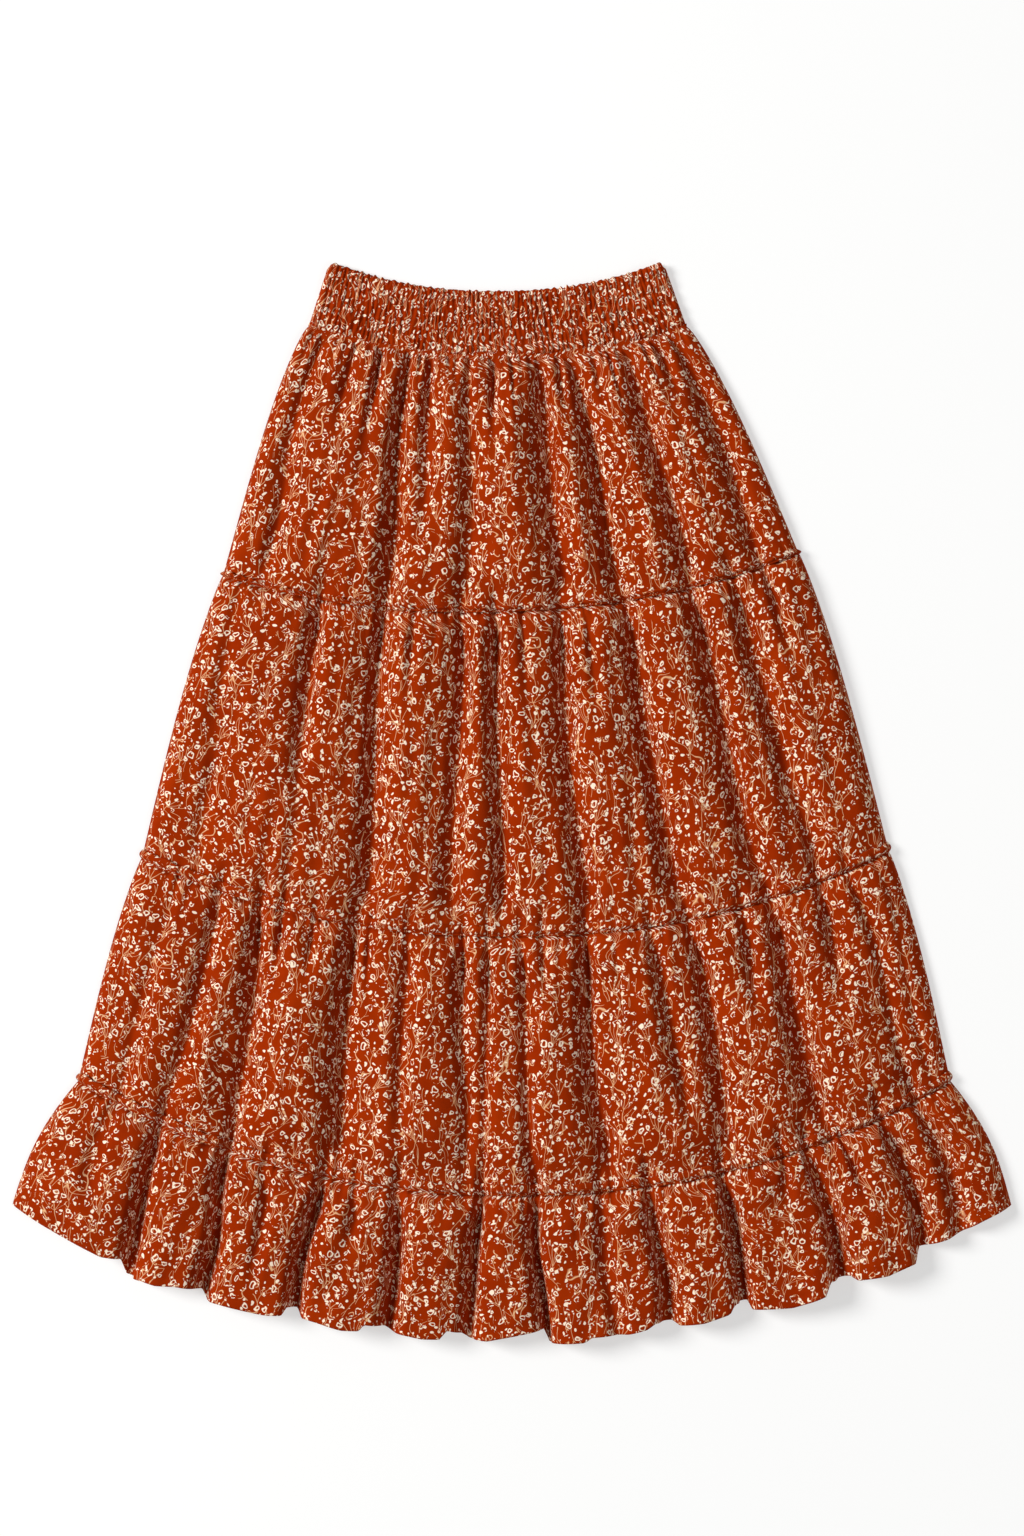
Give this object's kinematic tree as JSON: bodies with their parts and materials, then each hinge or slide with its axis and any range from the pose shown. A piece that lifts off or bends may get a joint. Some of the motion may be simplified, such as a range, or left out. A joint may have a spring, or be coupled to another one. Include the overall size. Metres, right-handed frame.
{
  "type": "tiered ruffle skirt",
  "caption": "Long tiered skirt with a shirred elastic waistband, gathered tiers and a gathered ruffle at the hem, laid flat with its front uppermost.",
  "frame": {"origin": "bottom centre of the overall box: on the surface that the skirt lies on, half way along it and half way across", "axes": "+Y from the hem towards the waist, +Z off the surface through the back to the front of the skirt, +X to the right of someone looking down on its front"},
  "size_m": [0.898, 0.9729, 0.0223],
  "materials": {
    "printed_cloth": "matt woven viscose in rust with a small cream flower print"
  },
  "bodies": {
    "root": {"waistband_front": "printed_cloth", "waistband_back": "printed_cloth", "tier_1_front": "printed_cloth", "tier_1_back": "printed_cloth", "tier_2_front": "printed_cloth", "tier_2_back": "printed_cloth", "tier_3_front": "printed_cloth", "tier_3_back": "printed_cloth", "hem_ruffle_front": "printed_cloth", "hem_ruffle_back": "printed_cloth"}
  },
  "joints": []
}
